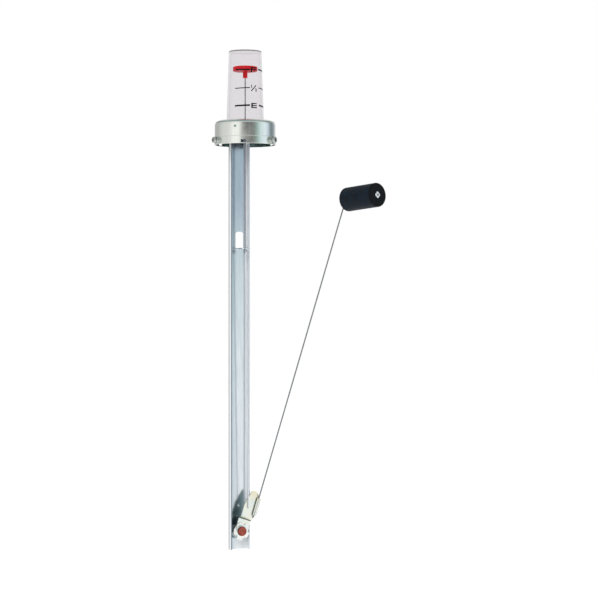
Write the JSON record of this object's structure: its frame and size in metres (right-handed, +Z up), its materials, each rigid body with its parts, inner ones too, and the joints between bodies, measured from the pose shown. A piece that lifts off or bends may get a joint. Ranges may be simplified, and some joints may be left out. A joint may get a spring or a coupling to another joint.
{
  "type": "oil level gauge",
  "caption": "Float level gauge for a fuel tank: clear sight dome with a sliding indicator, clamp-on cap, channel stem, rod linkage and a swinging float arm.",
  "frame": {"origin": "centre of the neck gasket's lower face, where the end of the tank neck lands, on the axis of the cap", "axes": "+Z up along the cap and rod axis, -Y the stem's open side and the front of the scale, +X the side to which the float arm swings"},
  "size_m": [0.1838, 0.084, 0.5237],
  "materials": {
    "cap_zinc": "bright zinc plate",
    "stem_zinc": "bright zinc plate",
    "steel": "bright zinc plate",
    "clear": "clear moulded",
    "rubber": "moulded",
    "red": "moulded",
    "white_plastic": "moulded",
    "wire": "drawn wire",
    "bronze": "turned",
    "yellow_zinc": "yellow chromate",
    "float_foam": "closed-cell foam skin"
  },
  "bodies": {
    "head_and_stem": {"mounting_cap": "cap_zinc", "sight_dome": "clear", "dome_gasket": "rubber", "backing_plate": "steel", "neck_gasket": "rubber", "clamp_nut_1": "steel", "clamp_nut_2": "steel", "clamp_nut_3": "steel", "clamp_screw_1": "steel", "clamp_screw_2": "steel", "clamp_screw_3": "steel", "stem_channel": "stem_zinc", "stem_rivet_1": "steel", "stem_rivet_2": "steel", "rod_bush": "white_plastic", "guide_eyelet": "steel", "pivot_pin": "bronze", "pivot_spacer": "steel", "star_washer": "steel"},
    "float_arm": {"lever": "yellow_zinc", "float_wire": "wire", "float": "float_foam", "float_washer_inner": "steel", "float_washer_outer": "steel"},
    "indicator_and_rod": {"indicator": "red", "indicator_rod": "wire"},
    "link": {"connecting_rod": "wire"}
  },
  "joints": [
    {"name": "float_swing", "type": "hinge", "parent": "head_and_stem", "child": "float_arm", "pos_m": [-0.002, 0.006, -0.4221], "axis": [0, 1, 0], "range_deg": [0, 104]},
    {"name": "indicator_slide", "type": "slide", "parent": "head_and_stem", "child": "indicator_and_rod", "axis": [0, 0, 1], "range_m": [-0.038, 0]},
    {"name": "link_sway", "type": "hinge", "parent": "indicator_and_rod", "child": "link", "pos_m": [0, 0, -0.1277], "axis": [0, 1, 0], "range_deg": [-3.7, 0]}
  ],
  "couplings": [
    {"joint": "indicator_slide", "follows": "float_swing", "m_per_rad": -0.020715},
    {"joint": "link_sway", "follows": "float_swing", "ratio": -0.034423}
  ]
}
